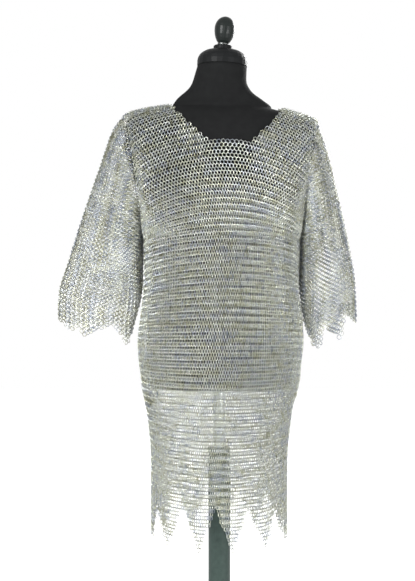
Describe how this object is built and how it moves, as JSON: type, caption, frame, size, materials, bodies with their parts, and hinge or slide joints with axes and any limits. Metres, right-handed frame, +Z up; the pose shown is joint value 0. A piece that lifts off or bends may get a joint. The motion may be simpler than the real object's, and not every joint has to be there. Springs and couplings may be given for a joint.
{
  "type": "chainmail hauberk on a limbless dress form",
  "caption": "Knee-length shirt of linked steel rings with pointed hem and cuffs, hanging from the shoulders of a black limbless dress form on a round-footed pole.",
  "frame": {"origin": "centre of the round foot's underside, on the pole's axis", "axes": "+Z up the pole; the garment's front faces -Y; the wearer's right sleeve is at -X and the left one at +X"},
  "size_m": [0.7367, 0.38, 1.6126],
  "materials": {
    "mail_rings": "galvanised steel wire rings, satin, linked four in one",
    "form_cover": "black stretch jersey over a moulded shell, matt",
    "cap_paint": "turned wood, painted satin black",
    "collar_metal": "turned and brushed",
    "finial_lacquer": "turned wood, lacquered black",
    "rod_metal": "drawn steel tube, satin",
    "stand_paint": "black-green paint, satin"
  },
  "bodies": {
    "root": {"mail_front": "mail_rings", "mail_back": "mail_rings", "mail_sleeve_right": "mail_rings", "mail_sleeve_left": "mail_rings", "form_torso": "form_cover", "neck_cap": "cap_paint", "finial_collar": "collar_metal", "finial_egg": "finial_lacquer", "pole_rod": "rod_metal", "pole_tube": "stand_paint", "base_plate": "stand_paint"}
  },
  "joints": []
}
